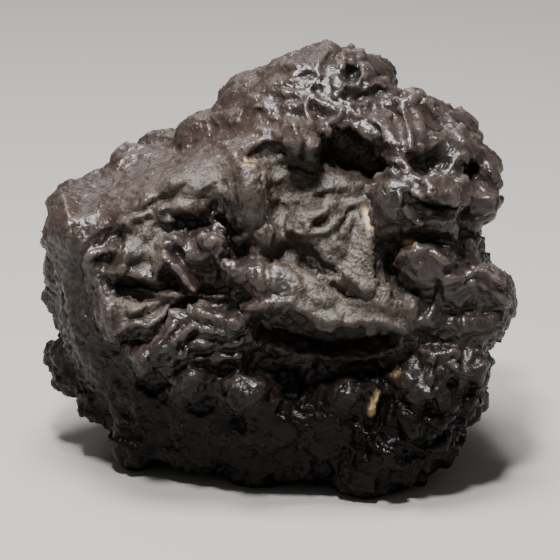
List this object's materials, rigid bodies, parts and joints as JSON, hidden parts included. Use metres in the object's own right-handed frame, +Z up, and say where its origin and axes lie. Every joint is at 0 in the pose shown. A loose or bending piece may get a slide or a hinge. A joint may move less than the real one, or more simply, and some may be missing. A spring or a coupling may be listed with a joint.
{
  "type": "prophecy stone",
  "caption": "Dark knobbly iron-oxide concretion with a smooth sloping shoulder, a pitted crown and a broad broken hollow over a ledge, lying on small worn feet.",
  "frame": {"origin": "middle of the stone's footprint, on the surface that it lies on", "axes": "+Z up, +X to the right of the side that carries the ledge, +Y away from that side"},
  "size_m": [0.0804, 0.06, 0.07],
  "materials": {
    "iron_oxide": "waxy desert varnish, semi-gloss, with duller granular hollows"
  },
  "bodies": {
    "root": {"stone": "iron_oxide"}
  },
  "joints": []
}
